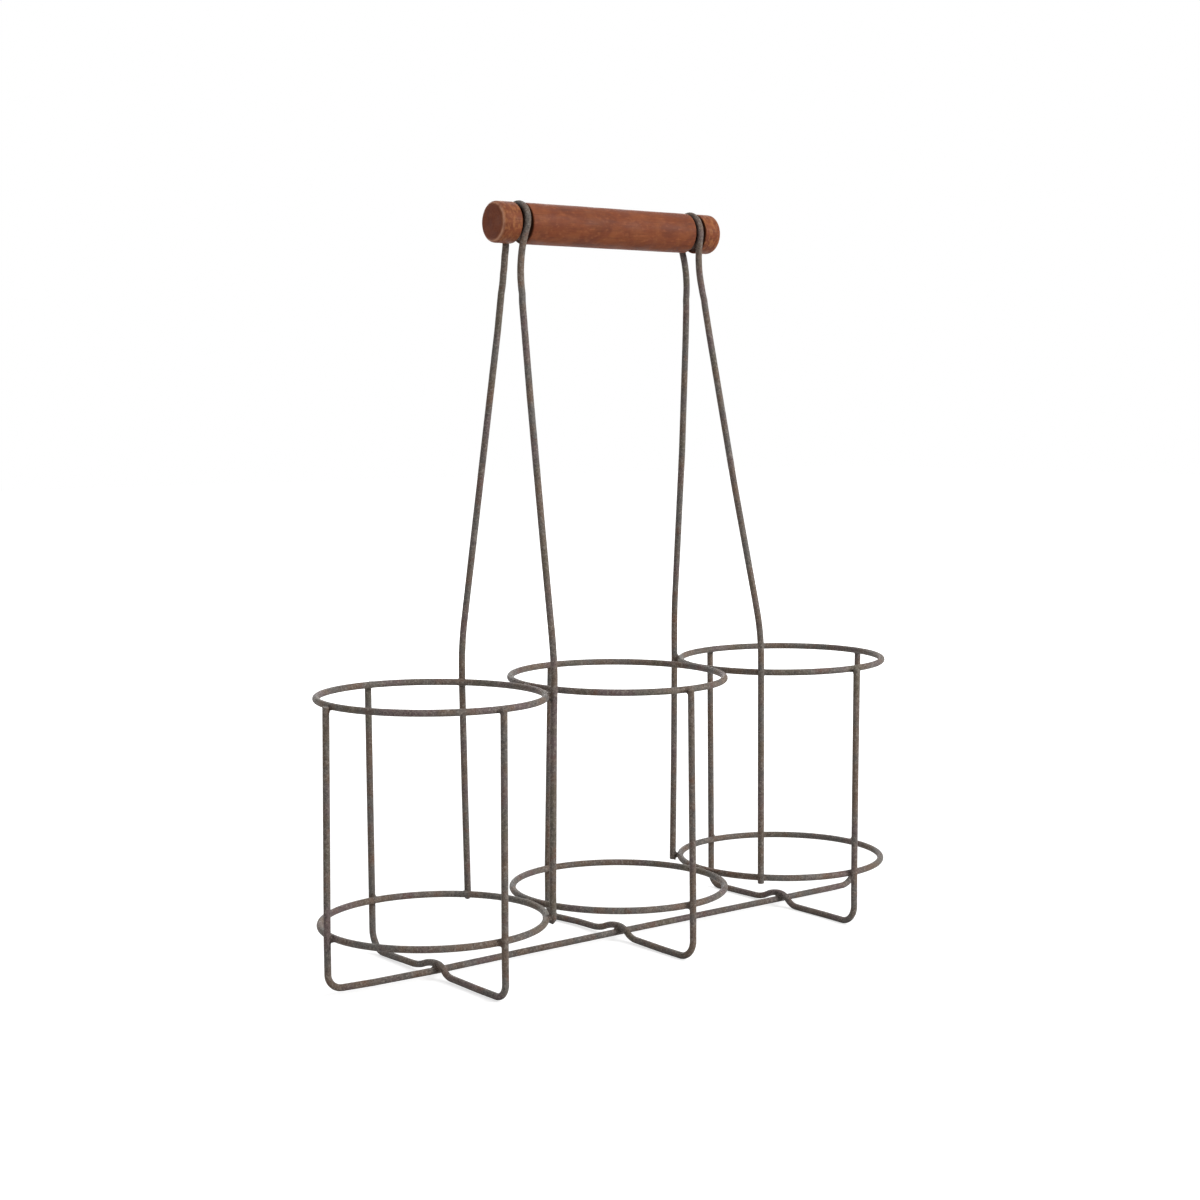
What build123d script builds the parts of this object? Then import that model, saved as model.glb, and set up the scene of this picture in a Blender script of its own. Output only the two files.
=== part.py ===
from build123d import *
from math import acos, atan2, cos, degrees, hypot, radians, sin, tan
import os

# Three-pocket bottle caddy of welded wire with a turned wooden handle.
# X runs along the row of pockets, Y across it and Z up.
# The origin is on the floor below the centre of the middle pocket.

# Wire
wire_d = 3.3
wire_end_r = 0.5
weld_gap = 0.1
foot_flat = 0.1

# Rings, a pair round each of three pockets side by side
ring_r = 53.5
bottom_ring_z = 27.6
top_ring_z = 134.1

# Base wire and cross wires: a level run with an upright at each end; the cross wires stand on the floor
base_lift = 2.2
foot_bend_r = 7.0
hump_half_length = 13.0
upright_rise = 1.2

# Weld beads: how far they show past the wire, and how deep they bite into it
weld_rim = 0.5
weld_bite = 1.0

# Turned handle
handle_d = 19.5
handle_z = 354.5
handle_edge_r = 2.2
left_stub_length = 11.0
right_stub_length = 10.3
left_groove_x = -58.8
right_groove_x = 47.6
groove_depth = 2.5
groove_side_play = 1.5
groove_floor_r = 1.2
groove_lip_r = 0.5

# Hoops: a loop round the handle, a neck below it and two spread legs; the left loop stands off its groove's middle
loop_clearance = 0.1
left_loop_offset = 1.1
neck_half_gap = 6.0
neck_bend_r = 46.0
front_leg_angle = 37.5
back_leg_angle = 41.0
leg_corner_rise = 18.6
leg_bend_length = 11.5
leg_tail = 2.6

# How far a cut runs past the material
overrun = 5.0

# Sizes worked out from those above
wire_r = wire_d / 2
contact_distance = wire_d + weld_gap
pocket_pitch = 2 * ring_r + contact_distance
upright_offset = ring_r + contact_distance
end_upright_x = pocket_pitch + upright_offset
upright_top_z = top_ring_z + upright_rise
floor_axis_z = wire_r - foot_flat
base_axis_z = floor_axis_z + base_lift
hump_rise = base_lift + contact_distance
crown_axis_z = floor_axis_z + hump_rise
hump_bend_r = (hump_half_length**2 + hump_rise**2) / (4 * hump_rise)
hump_turn = degrees(2 * atan2(hump_rise, hump_half_length))
handle_r = handle_d / 2
groove_width = wire_d + 2 * groove_side_play
groove_floor_radius = handle_r - groove_depth
handle_start_x = left_groove_x - groove_width / 2 - left_stub_length
handle_end_x = right_groove_x + groove_width / 2 + right_stub_length
loop_r = groove_floor_radius + loop_clearance + wire_r

pocket_x = {"left": -pocket_pitch, "middle": 0, "right": pocket_pitch}
hoop_side = {"left": -1, "right": 1}
ring_z = {"bottom": bottom_ring_z, "top": top_ring_z}
loop_x = {-1: left_groove_x - left_loop_offset, 1: right_groove_x}
leg_angle = {-1: -front_leg_angle, 1: back_leg_angle}

os.makedirs("parts", exist_ok=True)


def save(piece, label):
    """Names a finished piece and writes it."""
    piece.part.label = label
    export_step(piece.part, f"parts/{label}.step")


def first_end(wire):
    """The plane square to a wire at its first end."""
    return Plane(origin=wire @ 0, z_dir=wire % 0)


def u_wire(label, plane, half_span, run_z, humped):
    """A level run between two uprights; a humped one climbs over the base wire at its middle."""
    with BuildPart() as piece:
        with BuildLine(plane) as path:
            for side in (-1, 1):
                run_start = (0, run_z)
                run_end = (side * (half_span - foot_bend_r), run_z)
                if humped:
                    run_start = (side * hump_half_length, run_z)
                    crown = (0, crown_axis_z)
                    turn = side * hump_turn
                    fall = JernArc(crown, tangent=(side, 0), radius=hump_bend_r, arc_size=-turn)
                    JernArc(fall @ 1, tangent=fall % 1, radius=hump_bend_r, arc_size=turn)
                Line(run_start, run_end)
                JernArc(run_end, tangent=(side, 0), radius=foot_bend_r, arc_size=side * 90)
                Line((side * half_span, run_z + foot_bend_r), (side * half_span, upright_top_z))
        wire = path.wires()[0]
        with BuildSketch(first_end(wire)):
            Circle(wire_r)
        sweep(path=wire)
        fillet(piece.faces().filter_by(GeomType.PLANE).edges(), wire_end_r)
        # The undersides of the wires that stand on the floor are worn flat
        if humped:
            with BuildSketch(Plane.XY):
                Rectangle(2 * (end_upright_x + overrun), 2 * (upright_offset + overrun))
            extrude(amount=-overrun, mode=Mode.SUBTRACT)
    save(piece, label)


def ring(label, x, z):
    """A closed wire ring, level, round one pocket."""
    with BuildPart() as piece:
        with BuildSketch(Plane.XZ):
            with Locations((x + ring_r, z)):
                Circle(wire_r)
        revolve(axis=Axis((x, 0, z), (0, 0, 1)))
    save(piece, label)


def leg_spot(side, across, z):
    """A point of the upright stretch of a hoop's leg, outside the rings of its end pocket."""
    angle = radians(leg_angle[across])
    return Vector(side * (pocket_pitch - upright_offset * cos(angle)), upright_offset * sin(angle), z)


def hoop(label, side):
    """One wire that loops round the handle and stands with both legs against its end pocket's rings."""
    # The hoop's own plane holds its loop, its neck and the spread of its legs down to their corners
    loop_centre = Vector(loop_x[side], 0, handle_z)
    corner_z = top_ring_z + leg_corner_rise
    corners = {across: leg_spot(side, across, corner_z) for across in (-1, 1)}
    backward = (corners[1] - corners[-1]).normalized()
    plane = Plane(origin=loop_centre, x_dir=backward, z_dir=backward.cross(loop_centre - corners[1]))

    # The wire leaves the groove at exit_angle below level,
    # and the neck's bend turns it outward again until it points at the leg's corner, at leg_turn
    exit_angle = acos((neck_half_gap + neck_bend_r) / (loop_r + neck_bend_r))
    neck_x = neck_half_gap + neck_bend_r
    neck_y = -(loop_r + neck_bend_r) * sin(exit_angle)

    def loop_spot(across, angle):
        return plane.from_local_coords((across * loop_r * cos(angle), loop_r * sin(angle)))

    def neck_spot(across, angle):
        x = neck_x - neck_bend_r * cos(angle)
        return plane.from_local_coords((across * x, neck_y - neck_bend_r * sin(angle)))

    with BuildPart() as piece:
        with BuildLine() as path:
            ThreePointArc(
                loop_spot(-1, -exit_angle),
                loop_spot(1, radians(90)),
                loop_spot(1, -exit_angle),
            )
            for across, corner in corners.items():
                local_corner = plane.to_local_coords(corner)
                out = across * local_corner.X - neck_x
                down = neck_y - local_corner.Y
                leg_turn = atan2(down, out) - acos(neck_bend_r / hypot(out, down))
                leg_bend = radians((corner - neck_spot(across, leg_turn)).get_angle(Vector(0, 0, -1)))
                ThreePointArc(
                    neck_spot(across, -exit_angle),
                    neck_spot(across, 0),
                    neck_spot(across, leg_turn),
                )
                FilletPolyline(
                    neck_spot(across, leg_turn),
                    corner,
                    leg_spot(side, across, bottom_ring_z - leg_tail),
                    radius=leg_bend_length / tan(leg_bend / 2),
                )
        wire = path.wires()[0]
        with BuildSketch(first_end(wire)):
            Circle(wire_r)
        sweep(path=wire)
        fillet(piece.faces().filter_by(GeomType.PLANE).edges(), wire_end_r)
    save(piece, label)


def handle():
    """A turned dowel with rounded ends and a groove for each hoop."""
    floor_z = handle_z + groove_floor_radius
    groove_floors = [(left_groove_x, floor_z), (right_groove_x, floor_z)]
    with BuildPart() as piece:
        with BuildSketch(Plane.XZ) as profile:
            with Locations((handle_start_x, handle_z)):
                Rectangle(handle_end_x - handle_start_x, handle_r, align=(Align.MIN, Align.MIN))
            with Locations(groove_floors):
                Rectangle(groove_width, handle_r, align=(Align.CENTER, Align.MIN), mode=Mode.SUBTRACT)
            fillet(profile.vertices().group_by(Axis.Y)[-2], groove_floor_r)
            surface = profile.vertices().group_by(Axis.Y)[-1].sort_by(Axis.X)
            fillet(surface[:1] + surface[-1:], handle_edge_r)
            surface = profile.vertices().group_by(Axis.Y)[-1].sort_by(Axis.X)
            fillet(surface[1:-1], groove_lip_r)
        revolve(axis=Axis((handle_start_x, 0, handle_z), (1, 0, 0)))
    save(piece, "handle")


def beads(label, spots):
    """Weld beads, each a round pad with a rounded rim that lies between its two wires."""
    half_thickness = weld_gap / 2 + weld_bite
    bead_r = wire_r + weld_rim
    with BuildPart() as piece:
        for point, normal in spots:
            side_on = Vector(0, 0, 1) if normal.Z == 0 else Vector(0, 1, 0)
            with BuildSketch(Plane(origin=point, x_dir=normal, z_dir=side_on)) as profile:
                Rectangle(2 * half_thickness, bead_r, align=(Align.CENTER, Align.MIN))
                fillet(profile.vertices().group_by(Axis.Y)[-1], weld_bite)
            revolve(axis=Axis(point, normal))
    save(piece, label)


def beside_ring(x, z, angle):
    """The point between a ring and a wire outside it, and the way from the ring to that wire."""
    outward = Vector(cos(radians(angle)), sin(radians(angle)), 0)
    return Vector(x, 0, z) + outward * (ring_r + contact_distance / 2), outward


handle()

for name, side in hoop_side.items():
    hoop(f"{name}_hoop", side)

u_wire("base_wire", Plane.XZ, end_upright_x, base_axis_z, humped=False)

for name, x in pocket_x.items():
    u_wire(f"cross_wire_{name}", Plane.YZ.offset(x), upright_offset, floor_axis_z, humped=True)

for level, z in ring_z.items():
    for name, x in pocket_x.items():
        ring(f"{level}_ring_{name}", x, z)
    # Each pocket has an upright in front and one behind, and each end of the row has one more
    upright_spots = [beside_ring(x, z, angle) for x in pocket_x.values() for angle in (-90, 90)]
    upright_spots += [beside_ring(-pocket_pitch, z, 180), beside_ring(pocket_pitch, z, 0)]
    beads(f"{level}_ring_welds", upright_spots)
    # Each hoop has a leg on either side of the row, on the side of its pocket towards the middle
    leg_spots = [beside_ring(-pocket_pitch, z, angle) for angle in leg_angle.values()]
    leg_spots += [beside_ring(pocket_pitch, z, 180 - angle) for angle in leg_angle.values()]
    beads(f"hoop_{level}_welds", leg_spots)

# Neighbouring rings are welded side by side, and each cross wire to the base wire below it
beads("ring_joint_welds", [beside_ring(x, z, 0) for x in (-pocket_pitch, 0) for z in ring_z.values()])
crossing_z = (base_axis_z + crown_axis_z) / 2
beads("base_welds", [(Vector(x, 0, crossing_z), Vector(0, 0, 1)) for x in pocket_x.values()])
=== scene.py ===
import math

import bpy
import numpy as np
from mathutils import Matrix, Vector, noise


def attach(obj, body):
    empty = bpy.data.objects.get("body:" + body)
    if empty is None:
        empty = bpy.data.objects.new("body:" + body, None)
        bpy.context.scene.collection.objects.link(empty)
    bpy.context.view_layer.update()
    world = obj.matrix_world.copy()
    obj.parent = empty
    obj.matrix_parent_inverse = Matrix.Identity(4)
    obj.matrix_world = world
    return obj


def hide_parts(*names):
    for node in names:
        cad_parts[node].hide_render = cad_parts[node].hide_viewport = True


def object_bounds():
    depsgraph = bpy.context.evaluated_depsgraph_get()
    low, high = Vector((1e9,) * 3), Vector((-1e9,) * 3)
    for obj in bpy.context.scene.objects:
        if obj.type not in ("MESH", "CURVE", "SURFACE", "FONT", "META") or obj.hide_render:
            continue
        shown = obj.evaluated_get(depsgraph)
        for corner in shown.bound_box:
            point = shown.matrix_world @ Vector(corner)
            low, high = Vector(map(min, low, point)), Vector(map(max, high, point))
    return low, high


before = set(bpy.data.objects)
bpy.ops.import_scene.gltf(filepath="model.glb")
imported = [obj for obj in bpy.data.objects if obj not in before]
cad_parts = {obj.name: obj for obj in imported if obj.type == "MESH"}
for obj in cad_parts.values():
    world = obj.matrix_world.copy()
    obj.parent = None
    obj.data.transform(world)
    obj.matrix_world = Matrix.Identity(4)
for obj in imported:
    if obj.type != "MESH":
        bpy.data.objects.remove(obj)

# Three-pocket bottle caddy of welded wire with a turned wooden handle, lit and framed as in the photograph.
# It stands in the CAD's own frame: X along the row of pockets, Y across it, Z up.

cad_box = [list(corner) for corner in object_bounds()]

# Blender works in metres. The shapes below are worked out in millimetres.
MM = 0.001

# Sizes of the CAD that the wires, the welds and the handle follow
WIRE_R = 1.65
CONTACT = 3.4
RING_R = 53.5
PITCH = 2 * RING_R + CONTACT
UPRIGHT_OFFSET = RING_R + CONTACT
END_UPRIGHT_X = PITCH + UPRIGHT_OFFSET
RING_Z = {"bottom": 27.6, "top": 134.1}
POCKETS = {"left": -PITCH, "middle": 0.0, "right": PITCH}
FLOOR_AXIS_Z = 1.55
BASE_AXIS_Z = 3.75

HANDLE_Z = 354.5
HANDLE_R = 9.75
HANDLE_ENDS = (-72.95, 61.05)
GROOVES = (-58.8, 47.6)
EDGE_R = 2.2
GROOVE_HALF = 3.15
GROOVE_DEPTH = 2.5
GROOVE_FLOOR_R = 1.2
GROOVE_LIP_R = 0.5

# Hoops, by side (-1 left, 1 right), and their legs, by where they stand across the row (-1 front, 1 back)
LOOP_X = {-1: -59.9, 1: 47.6}
LOOP_R = 9.0
NECK_HALF_GAP = 6.0
NECK_BEND_R = 46.0
LEG_ANGLES = {-1: -37.5, 1: 41.0}
CORNER_Z = RING_Z["top"] + 18.6
LEG_BEND_LENGTH = 11.5

# How the real wires stray from the CAD's straight, level and round ones. Pairs are for a wire's front or left
# end and for its back or right end.
#
# A weld presses the cross wires' humps this much closer to the base wire
WELD_SQUEEZE = 0.4
CROWN_Z = BASE_AXIS_Z + CONTACT - WELD_SQUEEZE
# Each ring's lift, and its rise toward the right and toward the back
RING_TILTS = {
    "bottom_ring_left": (-0.25, 0.1, -0.45),
    "bottom_ring_middle": (-0.1, -0.4, 0.0),
    "bottom_ring_right": (-0.2, 0.0, 0.0),
    "top_ring_left": (-0.4, -0.5, 0.1),
    "top_ring_middle": (-0.35, 0.0, 0.9),
    "top_ring_right": (-0.15, 0.55, 0.3),
}
# Rings that are pressed in behind a leg: at how many degrees round the ring, and how far
RING_DENTS = {"bottom_ring_left": (-37.5, 0.8), "top_ring_right": (139.0, 0.4)}
DENT_WIDTH = 20.0
RING_WOBBLE = 0.15
RING_WOBBLE_SCALE = 1.3
# The uprights end this far above the middle of the top rings
TOP_RISE = 0.2
# The bends between a run and its uprights
FOOT_R = 7.0
ROUND_FOOT_R = 9.0
WIDE_FOOT_R = 10.0
BASE_FEET = (FOOT_R, WIDE_FOOT_R)
CROSS_FEET = {
    "left": (FOOT_R, WIDE_FOOT_R),
    "middle": (ROUND_FOOT_R, FOOT_R),
    "right": (ROUND_FOOT_R, FOOT_R),
}
# How far the uprights lean along their rings, at the height of the bottom ring and of the top one.
# The lean goes on a little above the top ring, and fades out along the run within a short way of its foot.
BASE_LEANS = ((1.9, -0.9), (0.8, -0.9))
CROSS_LEANS = {
    "left": ((0.7, 1.5), (0.3, 0.1)),
    "middle": ((1.0, 0.1), (-2.6, 0.4)),
    "right": ((-0.6, 0.3), (0.4, -0.2)),
}
LEAN_LIMIT = 1.1
FOOT_FADE = 22.0
# How far each cross wire's run stands off the floor, beside its hump and at its foot
CROSS_LIFTS = {
    "left": ((0.7, 0.4), (0.9, 0.3)),
    "middle": ((0.6, 0.0), (0.8, 0.3)),
    "right": ((0.0, 0.0), (0.5, 0.0)),
}
HUMP_LENGTHS = {"left": (12.0, 23.0), "middle": (14.0, 22.0), "right": (13.0, 20.0)}
# How far behind the middle of the row each cross wire climbs over the base wire
CROSSINGS = {"left": -1.8, "middle": 0.0, "right": 0.0}
# How far the base wire's run strays to the back, by its place along the row
BASE_STRAY = ((-END_UPRIGHT_X, 0.0), (-145.0, -0.6), (-PITCH, CROSSINGS["left"]), (-55.0, -0.6), (0.0, 0.0))
# Each leg's foot
LEG_END_Z = {(-1, -1): 26.6, (-1, 1): 25.0, (1, -1): 25.0, (1, 1): 25.0}
# Each leg's hand bending, as heights with shifts to the camera's right
CAMERA_RIGHT = np.array([0.7916, -0.6111, 0.0])
HAND_BENDS = {
    (-1, 1): (
        (25, 0.95), (80, 0.05), (134, -0.6), (155, -0.45), (304, -0.5), (320, -0.8), (331, -1.25),
        (339, -0.9), (345, 0),
    ),
    (-1, -1): (
        (25, -1), (41, -1), (116, 0), (143, 0.6), (206, -0.45), (273, -1.3), (317, -1.5), (327, -0.9), (345, 0),
    ),
    (1, 1): (
        (25, -0.7), (80, 0.1), (134, 0.6), (165, 0.45), (245, 1.75), (304, 1.7), (318, 1.5), (328, 1.0), (352, 0),
    ),
    (1, -1): ((25, 0), (170, 0), (228, -0.75), (304, -0.65), (318, -0.5), (328, 0), (345, 0)),
}
# Below its corner a leg strays round its ring. Where that way shows less than this to the camera, the leg
# strays to the camera's right there too.
LEAST_SEEN = 0.3
# How far each loop leans along the row, at its middle and at its top
LOOP_LEAN = {-1: (0.8, 1.5), 1: (0.0, 0.8)}


# ---------------------------------------------------------------- materials

WIRE_SPECULAR, WIRE_ROUGHNESS = 0.16, (0.50, 0.72)
WOOD_SPECULAR, WOOD_ROUGHNESS = 0.13, (0.46, 0.64)
CREVICE_REACH = 5 * MM
CREVICE_SAMPLES = 8
# A colour mix node's sockets, which it has beside others of the same names
MIX_FACTOR, MIX_A, MIX_B, MIX_RESULT = 0, 6, 7, 2


def srgb(r, g, b):
    """A colour given as it reads in the photograph, 0 to 255, as linear RGBA."""
    def linear(c):
        c /= 255
        return c / 12.92 if c <= 0.04045 else ((c + 0.055) / 1.055) ** 2.4
    return (linear(r), linear(g), linear(b), 1.0)


class Shader:
    """A material's node tree with short calls for the nodes that the finishes use."""

    def __init__(self, name):
        self.material = bpy.data.materials.new(name)
        self.material.use_nodes = True
        self.tree = self.material.node_tree
        self.tree.nodes.clear()
        self.output = self.tree.nodes.new("ShaderNodeOutputMaterial")
        self.bsdf = self.tree.nodes.new("ShaderNodeBsdfPrincipled")
        self.tree.links.new(self.bsdf.outputs[0], self.output.inputs[0])
        self.object_coords = self.tree.nodes.new("ShaderNodeTexCoord").outputs["Object"]

    def put(self, socket, value):
        """Sets an input to a constant, or links another node's output to it."""
        if isinstance(value, bpy.types.NodeSocket):
            self.tree.links.new(value, socket)
        else:
            socket.default_value = value

    def node(self, kind, inputs):
        node = self.tree.nodes.new(f"ShaderNode{kind}")
        for name, value in inputs.items():
            self.put(node.inputs[name], value)
        return node

    def placed(self, location=(0, 0, 0), scale=(1, 1, 1)):
        """The object's coordinates, moved and stretched for one pattern."""
        inputs = {"Vector": self.object_coords, "Location": location, "Scale": scale}
        return self.node("Mapping", inputs).outputs[0]

    def noise(self, scale, detail, rough, vector=None, distortion=0.0):
        inputs = {
            "Vector": vector or self.object_coords,
            "Scale": scale,
            "Detail": detail,
            "Roughness": rough,
            "Distortion": distortion,
        }
        return self.node("TexNoise", inputs).outputs[0]

    def cells(self, scale):
        return self.node("TexVoronoi", {"Vector": self.object_coords, "Scale": scale}).outputs["Distance"]

    def span(self, value, low, high, to_low=0.0, to_high=1.0):
        """Turns a value that runs from low to high smoothly into one that runs from to_low to to_high."""
        inputs = {"Value": value, "From Min": low, "From Max": high, "To Min": to_low, "To Max": to_high}
        node = self.node("MapRange", inputs)
        node.interpolation_type = "SMOOTHSTEP"
        return node.outputs[0]

    def times(self, a, b):
        node = self.tree.nodes.new("ShaderNodeMath")
        node.operation = "MULTIPLY"
        self.put(node.inputs[0], a)
        self.put(node.inputs[1], b)
        return node.outputs[0]

    def mix(self, factor, a, b):
        node = self.tree.nodes.new("ShaderNodeMix")
        node.data_type = "RGBA"
        for index, value in ((MIX_FACTOR, factor), (MIX_A, a), (MIX_B, b)):
            self.put(node.inputs[index], value)
        return node.outputs[MIX_RESULT]

    def over(self, colour, pattern, low, high, amount, other):
        """A colour with up to an amount of another over it, more and more where a pattern goes from low to high."""
        return self.mix(self.span(pattern, low, high, 0.0, amount), colour, other)

    def attribute(self, name):
        node = self.tree.nodes.new("ShaderNodeAttribute")
        node.attribute_name = name
        return node.outputs["Fac"]

    def crevice(self):
        """1 in the open, and less where other surfaces are near."""
        node = self.node("AmbientOcclusion", {"Distance": CREVICE_REACH})
        node.samples = CREVICE_SAMPLES
        return node.outputs["AO"]

    def bump(self, height, distance, strength, onto=None):
        """The surface's direction with a pattern's relief on it, on top of another relief where one is given."""
        inputs = {"Height": height, "Distance": distance, "Strength": strength}
        if onto is not None:
            inputs["Normal"] = onto
        return self.node("Bump", inputs).outputs[0]

    def finished(self, colour, roughness, specular, normal):
        inputs = {"Base Color": colour, "Roughness": roughness, "Specular IOR Level": specular, "Normal": normal}
        for name, value in inputs.items():
            self.put(self.bsdf.inputs[name], value)
        return self.material


def metal_finish(name, tints, dark_speck_and_shade, speck_light, rust):
    """Matt antiqued metal: patches of grey, brown, plum and olive, dark and light specks, painted shade in the
    crevices.
    """
    s = Shader(name)
    grey, brown, plum, olive = tints
    colour = s.over(grey, s.noise(60, 3, 0.55), 0.40, 0.60, 1.0, brown)
    colour = s.over(colour, s.noise(45, 2, 0.5, s.placed((3.1, 1.7, 5.3))), 0.50, 0.66, 0.85, plum)
    colour = s.over(colour, s.noise(50, 2, 0.5, s.placed((8.4, 2.2, 0.6))), 0.54, 0.70, 0.7, olive)
    colour = s.over(colour, s.noise(180, 4, 0.65, s.placed((1.9, 7.1, 3.7))), 0.52, 0.70, 0.42, dark_speck_and_shade)
    colour = s.over(colour, s.noise(170, 3, 0.6, s.placed((5.9, 0.4, 2.6))), 0.54, 0.70, 0.35, speck_light)
    grain = s.noise(1500, 3, 0.6)
    colour = s.over(colour, grain, 0.50, 0.62, 0.62, dark_speck_and_shade)
    colour = s.over(colour, s.noise(900, 2, 0.55, s.placed((0.7, 2.9, 1.3))), 0.54, 0.66, 0.62, speck_light)
    bloom = s.times(s.span(s.noise(150, 3, 0.6), 0.55, 0.68), s.span(grain, 0.38, 0.58))
    colour = s.mix(s.times(bloom, 0.45), colour, rust)
    # Painted shade: the dark speck colour laid over the crevices, where ambient occlusion finds other surfaces near
    crevice_shade = s.span(s.crevice(), 0.25, 0.80, 0.75, 0.0)
    colour = s.mix(crevice_shade, colour, dark_speck_and_shade)
    roughness = s.span(grain, 0.3, 0.7, *WIRE_ROUGHNESS)
    coarse = s.bump(s.noise(420, 4, 0.6), 0.12 * MM, 0.6)
    return s.finished(colour, roughness, WIRE_SPECULAR, s.bump(grain, 0.04 * MM, 0.7, coarse))


wire_metal = metal_finish(
    "wire_metal",
    tints=(srgb(99, 95, 91), srgb(107, 91, 79), srgb(104, 89, 89), srgb(97, 91, 78)),
    dark_speck_and_shade=srgb(57, 51, 48),
    speck_light=srgb(137, 128, 120),
    rust=srgb(108, 70, 50),
)
weld_metal = metal_finish(
    "weld_metal",
    tints=(srgb(80, 74, 69), srgb(88, 73, 62), srgb(78, 67, 65), srgb(80, 72, 60)),
    dark_speck_and_shade=srgb(44, 38, 35),
    speck_light=srgb(116, 106, 98),
    rust=srgb(92, 58, 41),
)


def wood_finish():
    """Red-brown stained dowel: cloudy stain, faint fibres, darker end grain, painted shade in the grooves, worn
    edges with a painted highlight.
    """
    s = Shader("stained_wood")
    streaks = s.noise(330, 4, 0.62, s.placed(scale=(0.3, 1, 1)))
    colour = s.over(srgb(104, 52, 31), streaks, 0.30, 0.70, 1.0, srgb(116, 61, 36))
    cloud = s.noise(120, 4, 0.62, s.placed((4.2, 0.3, 1.1), (0.7, 1, 1)), 0.6)
    colour = s.over(colour, cloud, 0.42, 0.66, 0.50, srgb(134, 77, 45))
    shade = s.noise(85, 3, 0.6, s.placed((1.2, 6.3, 2.9), (0.8, 1, 1)), 0.4)
    colour = s.over(colour, shade, 0.48, 0.70, 0.50, srgb(84, 42, 27))
    speck = s.noise(620, 3, 0.6, s.placed((2.7, 1.4, 0.2), (0.6, 1, 1)))
    colour = s.over(colour, speck, 0.52, 0.70, 0.35, srgb(150, 88, 55))
    fibres = s.noise(2600, 2, 0.5, s.placed(scale=(0.04, 1, 1)))
    colour = s.over(colour, fibres, 0.54, 0.72, 0.42, srgb(70, 36, 20))
    # The stubs are rubbed paler, and the edges of the ends are worn to bare wood, with a painted highlight on that
    # pale band
    scuffs = s.noise(700, 3, 0.6, s.placed((0.4, 0.9, 3.3), (1, 0.5, 0.5)))
    rubbed = s.times(s.attribute("stub"), s.span(scuffs, 0.46, 0.66))
    colour = s.mix(s.times(rubbed, 0.42), colour, srgb(166, 110, 66))
    # Painted highlight mixed with real wear: a pale band round the rounded edge of each end
    worn = s.times(s.attribute("worn"), s.span(scuffs, 0.25, 0.6, 0.45, 0.95))
    colour = s.mix(worn, colour, srgb(206, 152, 124))
    end_colour = s.over(srgb(97, 46, 28), s.cells(1500), 0.18, 0.42, 1.0, srgb(116, 61, 38))
    end_colour = s.over(end_colour, s.noise(240, 3, 0.6), 0.42, 0.66, 0.5, srgb(92, 46, 34))
    colour = s.mix(s.attribute("end_grain"), colour, end_colour)
    # Painted shade in the grooves, darker toward their floors
    colour = s.mix(s.times(s.attribute("groove"), 0.85), colour, srgb(46, 28, 21))
    roughness = s.span(streaks, 0.3, 0.7, *WOOD_ROUGHNESS)
    coarse = s.bump(streaks, 0.12 * MM, 0.5)
    return s.finished(colour, roughness, WOOD_SPECULAR, s.bump(fibres, 0.05 * MM, 0.6, coarse))


stained_wood = wood_finish()


# ---------------------------------------------------------------- mesh helpers


def add_mesh(name, vertices, faces, material, slot, body):
    """A smooth mesh object from points in millimetres."""
    mesh = bpy.data.meshes.new(name)
    mesh.from_pydata((np.asarray(vertices) * MM).tolist(), [], faces)
    mesh.validate()
    mesh.materials.append(material)
    mesh.shade_smooth()
    piece = bpy.data.objects.new(name, mesh)
    bpy.context.scene.collection.objects.link(piece)
    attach(piece, body)
    return piece


def set_attribute(piece, name, values):
    attribute = piece.data.attributes.new(name, "FLOAT", "POINT")
    attribute.data.foreach_set("value", np.asarray(values, np.float32))


def skin_faces(count, sides, closed):
    """The faces between a skin's rounds of points, with a cap on each end of one that isn't closed."""
    faces = []
    for i in range(count if closed else count - 1):
        j = (i + 1) % count
        for k in range(sides):
            n = (k + 1) % sides
            faces.append((i * sides + k, i * sides + n, j * sides + n, j * sides + k))
    if not closed:
        last = (count - 1) * sides
        faces.append(tuple(range(sides - 1, -1, -1)))
        faces.append(tuple(last + k for k in range(sides)))
    return faces


def unit(v):
    return v / np.linalg.norm(v, axis=-1, keepdims=True)


# ---------------------------------------------------------------- the wires' paths

LINE_STEP = 1.2
ARC_STEP = 0.6 * LINE_STEP
SAME_POINT = 0.05
RING_POINTS = 288
# The two ways of a flat drawing
ACROSS, UP = (1, 0), (0, 1)
DOWN_WAY = np.array([0.0, 0.0, -1.0])


def line(a, b):
    a, b = np.array(a, float), np.array(b, float)
    count = max(2, int(np.linalg.norm(b - a) / LINE_STEP) + 1)
    return np.linspace(a, b, count)


def arc(centre, x_way, y_way, radius, start, end):
    """Points of an arc from start to end degrees, in the plane of two ways square to each other."""
    count = max(6, int(abs(math.radians(end - start)) * radius / ARC_STEP) + 2)
    t = np.radians(np.linspace(start, end, count))[:, None]
    return np.array(centre) + radius * (np.cos(t) * np.array(x_way) + np.sin(t) * np.array(y_way))


def joined(parts):
    """One path through all the parts, without the points that neighbours share."""
    points = [parts[0][0]]
    for part in parts:
        points += [p for p in part if np.linalg.norm(p - points[-1]) > SAME_POINT]
    return np.array(points)


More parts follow.
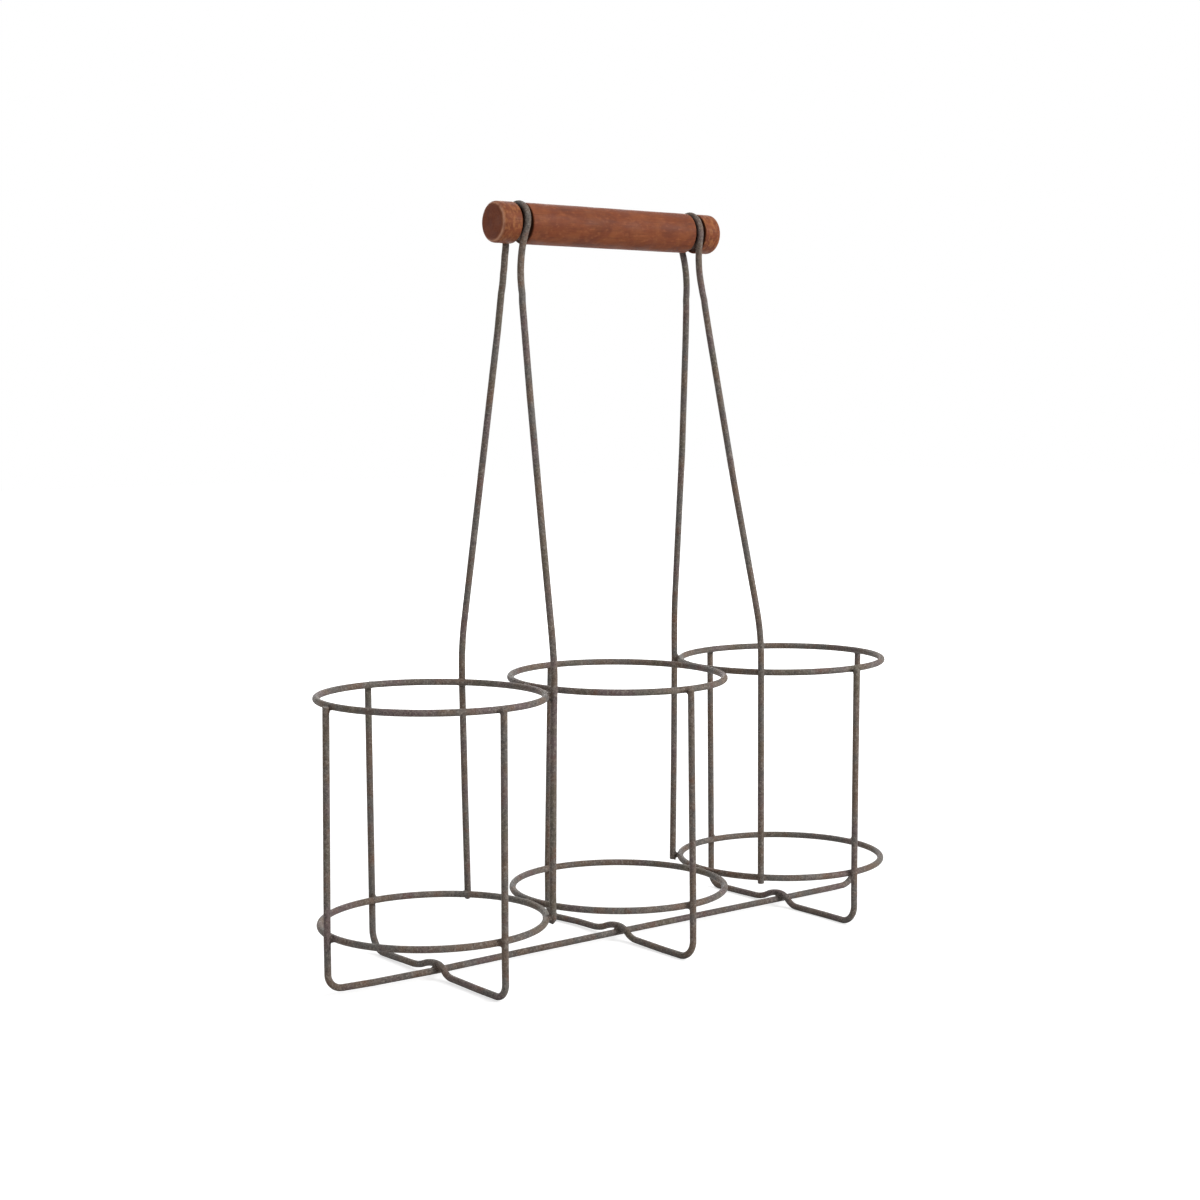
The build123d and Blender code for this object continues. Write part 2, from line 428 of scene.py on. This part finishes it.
def half_u(half_span, run_z, foot_r, hump_length, top):
    """Half of a floor run with its upright, as (across, z), from the middle outward."""
    parts = []
    run_start = 0.0
    if hump_length:
        rise = CROWN_Z - run_z
        r = (hump_length**2 + rise**2) / (4 * rise)
        turn = math.degrees(2 * math.atan2(rise, hump_length))
        parts.append(arc((0, CROWN_Z - r), ACROSS, UP, r, 90, 90 - turn))
        parts.append(arc((hump_length, run_z + r), ACROSS, UP, r, 270 - turn, 270))
        run_start = hump_length
    parts.append(line((run_start, run_z), (half_span - foot_r, run_z)))
    parts.append(arc((half_span - foot_r, run_z + foot_r), ACROSS, UP, foot_r, -90, 0))
    parts.append(line((half_span, run_z + foot_r), (half_span, top)))
    return joined(parts)


def u_path(half_span, run_z, feet, humps, tops, leans, lifts=((0, 0), (0, 0)), crossing=0.0):
    """A run with its two uprights, as (across, sideways, z), that crosses the other wire at its own place."""
    halves = []
    ends = zip((-1, 1), feet, humps, tops, leans, lifts)
    for side, foot_r, hump, top, (low, high), (hump_lift, foot_lift) in ends:
        length = half_span - side * crossing
        flat = half_u(length, run_z, foot_r, hump, top)
        height = (flat[:, 1] - RING_Z["bottom"]) / (RING_Z["top"] - RING_Z["bottom"])
        share = np.clip(1 - (length - flat[:, 0]) / FOOT_FADE, 0, 1)
        sideways = (low + (high - low) * np.clip(height, 0, LEAN_LIMIT)) * share
        # The lift dies out upward, so that the hump's crown and the upright's end stay where they are
        lift = np.interp(flat[:, 0], (hump, length - foot_r), (hump_lift, foot_lift))
        room = np.where(flat[:, 0] < hump, CROWN_Z, top) - run_z
        z = flat[:, 1] + lift * (1 - (flat[:, 1] - run_z) / room)
        halves.append(np.column_stack([crossing + side * flat[:, 0], sideways, z]))
    return np.vstack([halves[0][::-1], halves[1][1:]])


def ring_rise(name, x_way, y_way):
    """How far a ring hangs above its level, toward one side."""
    lift, tilt_x, tilt_y = RING_TILTS[name]
    return lift + tilt_x * x_way + tilt_y * y_way


def upright_top(pocket, x_way, y_way):
    """The height at which an upright on one side of a pocket ends."""
    return RING_Z["top"] + ring_rise(f"top_ring_{pocket}", x_way, y_way) + TOP_RISE


def ring_path(name, centre_x, z):
    """A pocket's ring, very nearly round and level."""
    dent_angle, dent_depth = RING_DENTS.get(name, (0.0, 0.0))
    points = []
    for i in range(RING_POINTS):
        t = 2 * math.pi * i / RING_POINTS
        way = Vector((math.cos(t), math.sin(t), 0))
        spot = way * RING_WOBBLE_SCALE + Vector((centre_x, z, 0))
        radius = RING_R + RING_WOBBLE * noise.noise(spot)
        off = (math.degrees(t) - dent_angle + 180) % 360 - 180
        radius -= dent_depth * math.exp(-((off / DENT_WIDTH) ** 2))
        points.append((centre_x + radius * way.x, radius * way.y, z + ring_rise(name, way.x, way.y)))
    return np.array(points)


def leg_spot(side, across, z):
    """A point of the upright stretch of a hoop's leg."""
    angle = math.radians(LEG_ANGLES[across])
    return np.array([side * (PITCH - UPRIGHT_OFFSET * math.cos(angle)), UPRIGHT_OFFSET * math.sin(angle), z])


def leg_parts(start, corner, foot):
    """A leg's stretches from the neck down: the slanting one, the bend at its corner and the upright one."""
    leg_way = unit(corner - start)
    bend = math.acos(leg_way @ DOWN_WAY)
    radius = LEG_BEND_LENGTH / math.tan(bend / 2)
    bend_start, bend_end = corner - leg_way * LEG_BEND_LENGTH, corner + DOWN_WAY * LEG_BEND_LENGTH
    middle = corner + unit(DOWN_WAY - leg_way) * (radius / math.cos(bend / 2))
    x_way = unit(bend_start - middle)
    y_way = unit(bend_end - middle - ((bend_end - middle) @ x_way) * x_way)
    return [
        line(start, bend_start),
        arc(middle, x_way, y_way, radius, 0, math.degrees(bend)),
        line(bend_end, foot),
    ]


def hand_bent(points, side, across):
    """Moves a leg's points sideways: to the camera's right above its corner, and round its ring below."""
    heights, shifts = zip(*HAND_BENDS[(side, across)])
    z = points[:, 2]
    shift = np.interp(z, heights, shifts)
    angle = math.radians(LEG_ANGLES[across])
    round_ring = np.array([side * math.sin(angle), math.cos(angle), 0.0])
    seen = round_ring @ CAMERA_RIGHT
    round_ring = round_ring / seen if abs(seen) > LEAST_SEEN else CAMERA_RIGHT
    free = np.clip((z - RING_Z["top"]) / (CORNER_Z - RING_Z["top"]), 0, 1)[:, None]
    return points + shift[:, None] * (free * CAMERA_RIGHT + (1 - free) * round_ring)


def hoop_path(side):
    """The hoop's path from the foot of its front leg, round the handle, to the foot of its back leg."""
    centre = np.array([LOOP_X[side], 0.0, HANDLE_Z])
    corners = {across: leg_spot(side, across, CORNER_Z) for across in (-1, 1)}
    back_way = unit(corners[1] - corners[-1])
    square = unit(np.cross(back_way, centre - corners[1]))
    up_way = np.cross(square, back_way)

    # The wire leaves the groove at exit_angle below level. The neck's bend has its centre at neck_x and neck_y
    # from the handle's middle, and turns the wire outward again until it points at the leg's corner.
    exit_angle = math.acos((NECK_HALF_GAP + NECK_BEND_R) / (LOOP_R + NECK_BEND_R))
    exit_deg = math.degrees(exit_angle)
    neck_x = NECK_HALF_GAP + NECK_BEND_R
    neck_y = -(LOOP_R + NECK_BEND_R) * math.sin(exit_angle)
    legs = {}
    for across, corner in corners.items():
        out_way = across * back_way
        out = (corner - centre) @ out_way - neck_x
        down = neck_y - (corner - centre) @ up_way
        turn = math.atan2(down, out) - math.acos(NECK_BEND_R / math.hypot(out, down))
        neck_centre = centre + neck_x * out_way + neck_y * up_way
        neck = arc(neck_centre, -out_way, up_way, NECK_BEND_R, exit_deg, -math.degrees(turn))
        foot = leg_spot(side, across, LEG_END_Z[(side, across)])
        legs[across] = hand_bent(joined([neck, *leg_parts(neck[-1], corner, foot)]), side, across)
    loop = arc(centre, back_way, up_way, LOOP_R, 180 + exit_deg, -exit_deg)
    path = joined([legs[-1][::-1], loop, legs[1]])
    heights = (HANDLE_Z - LOOP_R, HANDLE_Z, HANDLE_Z + LOOP_R)
    path[:, 0] += np.interp(path[:, 2], heights, (0, *LOOP_LEAN[side]))
    return path


def wire_paths():
    """The path of every wire, by the node that the wire takes the place of."""
    tops = (upright_top("left", -1, 0), upright_top("right", 1, 0))
    base = u_path(END_UPRIGHT_X, BASE_AXIS_Z, BASE_FEET, (0, 0), tops, BASE_LEANS)
    stray = np.interp(base[:, 0], *zip(*BASE_STRAY))
    found = {"base_wire": np.column_stack([base[:, 0], base[:, 1] + stray, base[:, 2]])}
    for pocket, pocket_x in POCKETS.items():
        cross = u_path(
            UPRIGHT_OFFSET, FLOOR_AXIS_Z, CROSS_FEET[pocket], HUMP_LENGTHS[pocket],
            (upright_top(pocket, 0, -1), upright_top(pocket, 0, 1)),
            CROSS_LEANS[pocket], CROSS_LIFTS[pocket], CROSSINGS[pocket],
        )
        found[f"cross_wire_{pocket}"] = np.column_stack([pocket_x + cross[:, 1], cross[:, 0], cross[:, 2]])
        for level, ring_z in RING_Z.items():
            ring_name = f"{level}_ring_{pocket}"
            found[ring_name] = ring_path(ring_name, pocket_x, ring_z)
    found["left_hoop"] = hoop_path(-1)
    found["right_hoop"] = hoop_path(1)
    return found


def is_ring(name):
    return "_ring_" in name


paths = wire_paths()


# ---------------------------------------------------------------- the wires' skins

WIRE_SIDES = 20
# The rounded rim of a cut end: its radius, and how far from the end each round of points lies
RIM_R = 0.5
RIM_STEPS = (0.0, 0.067, 0.25, 0.5)
# Slow swells along a wire and pits on it, as shares of its radius, and how fine they are
SWELL, SWELL_SCALE = 0.010, 0.09
PIT, PIT_SCALE, PIT_SCALE_AROUND = 0.014, 0.45, 1.1
# Above this rise a wire counts as upright when its first side is chosen
STEEP = 0.9
NO_LENGTH = 1e-12
BOX_LOW, BOX_HIGH = (np.array(corner) / MM for corner in cad_box)


def rimmed(path):
    """A path with extra stops at its two ends for a rounded rim, and how far each stop's ring is drawn in."""
    start_way, end_way = unit(path[1] - path[0]), unit(path[-1] - path[-2])
    starts = [path[0] + start_way * d for d in RIM_STEPS]
    ends = [path[-1] - end_way * d for d in reversed(RIM_STEPS)]
    drawn_in = [RIM_R - math.sqrt(max(0.0, RIM_R**2 - (RIM_R - d) ** 2)) for d in RIM_STEPS]
    insets = np.zeros(len(path) - 2 + 2 * len(RIM_STEPS))
    insets[:len(drawn_in)] = drawn_in
    insets[-len(drawn_in):] = drawn_in[::-1]
    return np.vstack([starts, path[1:-1], ends]), insets


def mirrored(way, across):
    return way - 2 * (across @ way) / (across @ across) * across


def side_ways(path, ways):
    """A way square to the path at each of its points, without a twist from one to the next."""
    level, back = (0.0, 0.0, 1.0), (0.0, 1.0, 0.0)
    found = [unit(np.cross(ways[0], level if abs(ways[0][2]) < STEEP else back))]
    for i in range(1, len(path)):
        step = path[i] - path[i - 1]
        turned = mirrored(found[-1], step)
        rest = ways[i] - mirrored(ways[i - 1], step)
        found.append(mirrored(turned, rest) if rest @ rest > NO_LENGTH else turned)
    return found


def tube(path, closed):
    """The skin of a wire, a little uneven, kept inside the CAD's box."""
    insets = np.zeros(len(path))
    if closed:
        ways = unit(np.roll(path, -1, 0) - np.roll(path, 1, 0))
    else:
        path, insets = rimmed(path)
        ways = unit(np.gradient(path, axis=0))
    vertices = []
    for point, way, side_way, inset in zip(path, ways, side_ways(path, ways), insets):
        other_way = np.cross(way, side_way)
        swell = 1 - SWELL + SWELL * noise.noise(Vector(point * SWELL_SCALE))
        for k in range(WIRE_SIDES):
            t = 2 * math.pi * k / WIRE_SIDES
            out = math.cos(t) * side_way + math.sin(t) * other_way
            pit = PIT * noise.noise(Vector(point * PIT_SCALE + out * PIT_SCALE_AROUND))
            vertices.append(point + out * (WIRE_R * (swell + pit) - inset))
    return np.clip(vertices, BOX_LOW, BOX_HIGH), skin_faces(len(path), WIRE_SIDES, closed)


for name, path in paths.items():
    wire = add_mesh(f"{name}_drawn", *tube(path, is_ring(name)), wire_metal, "wire_metal", "frame")
    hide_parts(name)


# ---------------------------------------------------------------- welds

# A weld is a blend of its two wires' skins where they lie within FILLET of each other, SINK below them where
# it is thin, with lumps on the blend. It is found along rays from the point where the wires touch.
FILLET = 2.3
SINK = 0.045
LUMP = 0.16
LUMP_SPREAD = 3
# Two sizes of lumps: how strong, and how fine over the frame and round the weld
LUMP_SIZES = ((1.0, 0.9, 1.6), (0.5, 0.7, 4.1))
RAY_LENGTH, RAY_START, RAY_STOPS = 3.0, 0.02, 56
# How far from a weld its wires are looked at
SEARCH = 8.0
STOPS_PER_STRETCH = 9
AROUND, DOWN = 40, 26


def sphere_directions():
    """Directions over a sphere, the two poles last, and the faces that join them."""
    rows = []
    for j in range(1, DOWN):
        polar = math.pi * j / DOWN
        for i in range(AROUND):
            turn = 2 * math.pi * i / AROUND
            rows.append((math.sin(polar) * math.cos(turn), math.sin(polar) * math.sin(turn), math.cos(polar)))
    rows += [(0, 0, 1), (0, 0, -1)]
    faces = []
    for j in range(DOWN - 2):
        for i in range(AROUND):
            k = (i + 1) % AROUND
            faces.append((j * AROUND + i, (j + 1) * AROUND + i, (j + 1) * AROUND + k, j * AROUND + k))
    last_row = (DOWN - 2) * AROUND
    top_pole = (DOWN - 1) * AROUND
    for i in range(AROUND):
        k = (i + 1) % AROUND
        faces.append((top_pole, i, k))
        faces.append((top_pole + 1, last_row + k, last_row + i))
    return np.array(rows), faces


DIRECTIONS, SPHERE_FACES = sphere_directions()


def stretches(name, spot):
    """The starts and ends of a wire's short stretches near a spot."""
    path = paths[name]
    if is_ring(name):
        path = np.vstack([path, path[:1]])
    near = np.linalg.norm(path - spot, axis=1) < SEARCH
    keep = near[:-1] & near[1:]
    return path[:-1][keep], path[1:][keep]


def closest(first, second):
    """The middle of the narrowest place between two wires' stretches."""
    shares = np.linspace(0, 1, STOPS_PER_STRETCH)[:, None]
    a, b = (
        np.vstack([start + (end - start) * shares for start, end in zip(*wire)])
        for wire in (first, second)
    )
    gaps = np.linalg.norm(a[:, None] - b[None], axis=-1)
    i, j = np.unravel_index(gaps.argmin(), gaps.shape)
    return (a[i] + b[j]) / 2


def skin_distance(points, wire, top):
    """How far points lie outside a wire's skin, which ends at a height where one is given."""
    best = np.full(points.shape[:-1], np.inf)
    for start, end in zip(*wire):
        along = end - start
        share = np.clip((points - start) @ along / (along @ along), 0, 1)
        best = np.minimum(best, np.linalg.norm(points - start - share[..., None] * along, axis=-1))
    skin = best - WIRE_R
    return skin if top is None else np.maximum(skin, points[..., 2] - top)


def lumpiness(centre, way):
    return sum(
        strength * noise.noise(Vector(centre * over_frame + way * round_weld))
        for strength, over_frame, round_weld in LUMP_SIZES
    )


def weld(spot, first_name, second_name, ends_here=False):
    """The skin of the melted metal between two wires, of which the second may end at the weld."""
    first, second = stretches(first_name, spot), stretches(second_name, spot)
    centre = closest(first, second)
    top = second[1][:, 2].max() if ends_here else None
    steps = np.linspace(RAY_START, 1, RAY_STOPS) * RAY_LENGTH
    points = centre + DIRECTIONS[:, None, :] * steps[None, :, None]
    a, b = skin_distance(points, first, None), skin_distance(points, second, top)
    overlap = np.clip(1 - np.abs(a - b) / FILLET, 0, None)
    field = np.minimum(a, b) - overlap**2 * FILLET / 4 + SINK
    lumps = np.array([lumpiness(centre, way) for way in DIRECTIONS])
    field += lumps[:, None] * LUMP * np.clip(overlap * LUMP_SPREAD, 0, 1)

    # Each ray ends between its last stop inside the metal and its first one outside
    outside = field > 0
    leaves = outside.any(1)
    hit = np.where(leaves, outside.argmax(1), len(steps) - 1)
    before = np.maximum(hit - 1, 0)
    rows = np.arange(len(DIRECTIONS))
    inner, outer = field[rows, before], field[rows, hit]
    rise = np.where(outer == inner, 1, outer - inner)
    share = np.where(leaves & (outer > inner), np.clip(-inner / rise, 0, 1), 1.0)
    radius = steps[before] + (steps[hit] - steps[before]) * share
    return centre + DIRECTIONS * radius[:, None]


def weld_piece(node, spots):
    vertices, faces = [], []
    for spot in spots:
        start = len(vertices)
        vertices.extend(weld(*spot))
        faces.extend(tuple(start + i for i in face) for face in SPHERE_FACES)
    vertices = np.clip(vertices, BOX_LOW, BOX_HIGH)
    piece = add_mesh(f"{node}_fillets", vertices, faces, weld_metal, "weld_metal", "frame")
    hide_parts(node)


def beside(pocket, level, angle):
    """The spot between a pocket's ring and a wire outside it."""
    out = np.array([math.cos(math.radians(angle)), math.sin(math.radians(angle)), 0])
    return np.array([POCKETS[pocket], 0, RING_Z[level]]) + out * (RING_R + CONTACT / 2)


for level in RING_Z:
    at_top = level == "top"
    uprights = [(pocket, angle, f"cross_wire_{pocket}") for pocket in POCKETS for angle in (-90, 90)]
    uprights += [("left", 180, "base_wire"), ("right", 0, "base_wire")]
    weld_piece(f"{level}_ring_welds", [
        (beside(pocket, level, angle), f"{level}_ring_{pocket}", wire_name, at_top)
        for pocket, angle, wire_name in uprights
    ])
    legs = [("left", angle) for angle in LEG_ANGLES.values()]
    legs += [("right", 180 - angle) for angle in LEG_ANGLES.values()]
    weld_piece(f"hoop_{level}_welds", [
        (beside(pocket, level, angle), f"{level}_ring_{pocket}", f"{pocket}_hoop") for pocket, angle in legs
    ])

weld_piece("ring_joint_welds", [
    (beside(pocket, level, 0), f"{level}_ring_{pocket}", f"{level}_ring_{neighbour}")
    for pocket, neighbour in (("left", "middle"), ("middle", "right")) for level in RING_Z
])
weld_piece("base_welds", [
    (np.array([x, CROSSINGS[pocket], (BASE_AXIS_Z + CROWN_Z) / 2]), "base_wire", f"cross_wire_{pocket}")
    for pocket, x in POCKETS.items()
])


# ---------------------------------------------------------------- handle

HANDLE_SIDES = 144
# How far apart the rounds of points lie between the grooves and on the stubs, and how many shorter runs have
BODY_STEP, STUB_STEP = 0.6, 0.4
WALL_POINTS, FLOOR_POINTS, FACE_POINTS = 4, 12, 20
# The end faces close with a small cap of this radius
CAP_R = 0.3
GROOVE_MARGIN = 0.05
# Waves along the turned surface and finer ones on them, and how fine along and around
WAVE, RIPPLE = 0.07, 0.03
WAVE_ALONG, WAVE_AROUND, RIPPLE_SCALE = 0.028, 0.9, 4.3
# Dents where the noise is above its threshold
DENT, DENT_THRESHOLD, DENT_ALONG, DENT_AROUND, DENT_PLACE = 0.22, 0.42, 0.19, 2.3, 7.7
# Unevenness fades toward the middle of an end face within this radius
FADE_R = 2
# Places on the rounded edge, in shares of its width: the middle and width of the pale band, partly wear and partly
# painted highlight, and the end grain
WORN_HIGHLIGHT_MIDDLE, WORN_HIGHLIGHT_WIDTH = 0.76, 0.17
WORN_HIGHLIGHT_LEAST, WORN_HIGHLIGHT_RAGGED = 0.55, 0.45
RAGGED_ALONG, RAGGED_AROUND = 0.3, 3.1
END_GRAIN_START, END_GRAIN_WIDTH = 0.90, 0.09
# The depth at which the painted shade in a groove is at its darkest
SHADE_DEPTH = 1.2


def half_profile(groove, end):
    """The handle's outline from x = 0 out to the centre of one end, as (distance outward, radius)."""
    r, floor = HANDLE_R, HANDLE_R - GROOVE_DEPTH
    near, far = groove - GROOVE_HALF, groove + GROOVE_HALF
    lip, root = GROOVE_LIP_R, GROOVE_FLOOR_R
    return joined([
        np.linspace((0, r), (near - lip, r), int(near / BODY_STEP)),
        arc((near - lip, r - lip), ACROSS, UP, lip, 90, 0),
        np.linspace((near, r - lip), (near, floor + root), WALL_POINTS),
        arc((near + root, floor + root), ACROSS, UP, root, 180, 270),
        np.linspace((near + root, floor), (far - root, floor), FLOOR_POINTS),
        arc((far - root, floor + root), ACROSS, UP, root, 270, 360),
        np.linspace((far, floor + root), (far, r - lip), WALL_POINTS),
        arc((far + lip, r - lip), ACROSS, UP, lip, 180, 90),
        np.linspace((far + lip, r), (end - EDGE_R, r), int((end - far) / STUB_STEP)),
        arc((end - EDGE_R, r - EDGE_R), ACROSS, UP, EDGE_R, 90, 0),
        np.linspace((end, r - EDGE_R), (end, CAP_R), FACE_POINTS),
    ])


def unevenness(x, y, z, in_groove):
    """How far the turned surface stands out at a place, given along the handle and as a way round it."""
    spot = Vector((x * WAVE_ALONG, y * WAVE_AROUND, z * WAVE_AROUND))
    uneven = WAVE * noise.noise(spot) + RIPPLE * noise.noise(spot * RIPPLE_SCALE)
    dent = noise.noise(Vector((x * DENT_ALONG + DENT_PLACE, y * DENT_AROUND, z * DENT_AROUND)))
    return uneven - DENT * max(0.0, dent - DENT_THRESHOLD) * (0 if in_groove else 1)


def handle():
    left = half_profile(-GROOVES[0], -HANDLE_ENDS[0])
    right = half_profile(GROOVES[1], HANDLE_ENDS[1])
    profile = [(-x, r) for x, r in left[:0:-1]] + [tuple(p) for p in right]
    vertices = []
    marks = {"stub": [], "worn": [], "end_grain": [], "groove": []}
    for x, r in profile:
        groove_x, end = (GROOVES[0], HANDLE_ENDS[0]) if x < 0 else (GROOVES[1], HANDLE_ENDS[1])
        in_groove = abs(x - groove_x) < GROOVE_HALF + GROOVE_MARGIN
        beyond = abs(x) > abs(groove_x)
        on_edge = max(0.0, (abs(x) - (abs(end) - EDGE_R)) / EDGE_R)
        # The pale band round each end's edge: worn wood with a painted highlight
        edge = math.exp(-((on_edge - WORN_HIGHLIGHT_MIDDLE) / WORN_HIGHLIGHT_WIDTH) ** 2) if beyond else 0.0
        for i in range(HANDLE_SIDES):
            turn = 2 * math.pi * i / HANDLE_SIDES
            y, z = math.cos(turn), math.sin(turn)
            radius = r + unevenness(x, y, z, in_groove) * min(1.0, r / FADE_R)
            vertices.append((x, radius * y, HANDLE_Z + radius * z))
            ragged = 0.5 + 0.5 * noise.noise(Vector((x * RAGGED_ALONG, y * RAGGED_AROUND, z * RAGGED_AROUND)))
            marks["stub"].append(1.0 if beyond and not in_groove else 0.0)
            marks["worn"].append(edge * (WORN_HIGHLIGHT_LEAST + WORN_HIGHLIGHT_RAGGED * ragged))
            marks["end_grain"].append(min(1.0, max(0.0, (on_edge - END_GRAIN_START) / END_GRAIN_WIDTH)))
            # Painted shade, darker the deeper the groove
            marks["groove"].append(min(1.0, (HANDLE_R - r) / SHADE_DEPTH) if in_groove else 0.0)
    vertices = np.array(vertices)
    vertices[:, 0] = np.clip(vertices[:, 0], *HANDLE_ENDS)
    faces = skin_faces(len(profile), HANDLE_SIDES, closed=False)
    piece = add_mesh("handle_dowel", vertices, faces, stained_wood, "stained_wood", "handle")
    for name, values in marks.items():
        set_attribute(piece, name, values)
    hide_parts("handle")


handle()


# ---------------------------------------------------------------- floor, world and lights

# In metres, as everything from here on
FLOOR_HALF = 6.0
FLOOR_GREY = (0.62, 0.62, 0.62, 1)
# The floor's own glow, which hides its edge: its strength below the caddy and from some way off outward
GLOW_FROM, GLOW_TO = (0.25, 0.62), (1.0, 1.0)
WHITE = (1, 1, 1, 1)
ROOM_STRENGTH, BACKDROP_STRENGTH = 0.36, 1.0
# Each softbox: where it stands, what it points at, its width and its power in watts
SOFTBOXES = {
    "key_softbox": ((0.95, -1.8, 1.15), (0, 0, 0.18), 1.1, 44),
    "fill_softbox": ((-1.9, -0.9, 0.9), (0, 0, 0.2), 1.4, 5),
    "top_softbox": ((0.1, 0.1, 2.1), (0, 0, 0), 1.6, 9),
    "back_softbox": ((0.9, 1.9, 1.0), (0, 0, 0.2), 1.6, 15),
}


def seen_by_camera(tree):
    """1 for a ray that the camera sees, straight, mirrored or through something, and 0 for one that only lights."""
    path = tree.nodes.new("ShaderNodeLightPath")
    seen = path.outputs["Is Camera Ray"]
    for kind in ("Glossy", "Transmission"):
        node = tree.nodes.new("ShaderNodeMath")
        node.operation = "MAXIMUM"
        tree.links.new(seen, node.inputs[0])
        tree.links.new(path.outputs[f"Is {kind} Ray"], node.inputs[1])
        seen = node.outputs[0]
    return seen


def stage_floor():
    """A plain pale floor that takes the caddy's shadow and runs into the white backdrop."""
    size = FLOOR_HALF
    mesh = bpy.data.meshes.new("floor")
    mesh.from_pydata([(-size, -size, 0), (size, -size, 0), (size, size, 0), (-size, size, 0)], [], [(0, 1, 2, 3)])
    floor = bpy.data.objects.new("floor", mesh)
    bpy.context.scene.collection.objects.link(floor)
    s = Shader("floor_white")
    for name, value in (("Base Color", FLOOR_GREY), ("Roughness", 1.0), ("Specular IOR Level", 0.0)):
        s.put(s.bsdf.inputs[name], value)
    away = s.tree.nodes.new("ShaderNodeVectorMath")
    away.operation = "LENGTH"
    s.put(away.inputs[0], s.object_coords)
    (near, near_glow), (far, far_glow) = GLOW_FROM, GLOW_TO
    glow_strength = s.span(away.outputs["Value"], near, far, near_glow, far_glow)
    glow = s.node("Emission", {"Strength": s.times(seen_by_camera(s.tree), glow_strength)})
    both = s.node("AddShader", {0: s.bsdf.outputs[0], 1: glow.outputs[0]})
    s.put(s.output.inputs[0], both.outputs[0])
    mesh.materials.append(s.material)


def studio_world():
    """A white backdrop for the camera, and a dimmer white room for the light."""
    world = bpy.data.worlds.new("studio")
    bpy.context.scene.world = world
    world.use_nodes = True
    nodes, links = world.node_tree.nodes, world.node_tree.links
    nodes.clear()
    output = nodes.new("ShaderNodeOutputWorld")
    mix = nodes.new("ShaderNodeMixShader")
    links.new(seen_by_camera(world.node_tree), mix.inputs[0])
    for index, strength in ((1, ROOM_STRENGTH), (2, BACKDROP_STRENGTH)):
        background = nodes.new("ShaderNodeBackground")
        background.inputs["Color"].default_value = WHITE
        background.inputs["Strength"].default_value = strength
        links.new(background.outputs[0], mix.inputs[index])
    links.new(mix.outputs[0], output.inputs[0])


def area_light(name, place, target, width, power):
    data = bpy.data.lights.new(name, "AREA")
    data.shape = "RECTANGLE"
    data.size = data.size_y = width
    data.energy = power
    light = bpy.data.objects.new(name, data)
    aim = Vector(target) - Vector(place)
    light.matrix_world = Matrix.Translation(place) @ aim.to_track_quat("-Z", "Y").to_matrix().to_4x4()
    bpy.context.scene.collection.objects.link(light)


stage_floor()
studio_world()
for name, setting in SOFTBOXES.items():
    area_light(name, *setting)


# ---------------------------------------------------------------- camera

CAMERA_PLACE = (-621.29 * MM, -791.37 * MM, 266.44 * MM)
AZIMUTH, PITCH_DOWN, ROLL = (math.radians(a) for a in (-37.657, 5.353, -0.38))
FOCAL_PX, FRAME_PX, SENSOR_MM = 2029.2, 1200, 36.0
CLIP_NEAR, CLIP_FAR = 0.01, 50


def camera():
    """The photograph's own camera, as fitted to it."""
    data = bpy.data.cameras.new("camera")
    data.sensor_fit = "HORIZONTAL"
    data.sensor_width = SENSOR_MM
    data.lens = FOCAL_PX / FRAME_PX * SENSOR_MM
    data.clip_start, data.clip_end = CLIP_NEAR, CLIP_FAR
    back = Vector((
        math.sin(AZIMUTH) * math.cos(PITCH_DOWN),
        -math.cos(AZIMUTH) * math.cos(PITCH_DOWN),
        math.sin(PITCH_DOWN),
    ))
    level = Vector((math.cos(AZIMUTH), math.sin(AZIMUTH), 0))
    rise = back.cross(level)
    right = level * math.cos(ROLL) + rise * math.sin(ROLL)
    up = rise * math.cos(ROLL) - level * math.sin(ROLL)
    rotation = Matrix((right, up, back)).transposed()
    view = bpy.data.objects.new("camera", data)
    view.matrix_world = Matrix.Translation(CAMERA_PLACE) @ rotation.to_4x4()
    bpy.context.scene.collection.objects.link(view)
    bpy.context.scene.camera = view


camera()

bpy.context.scene.view_settings.view_transform = "Standard"

bpy.context.view_layer.update()
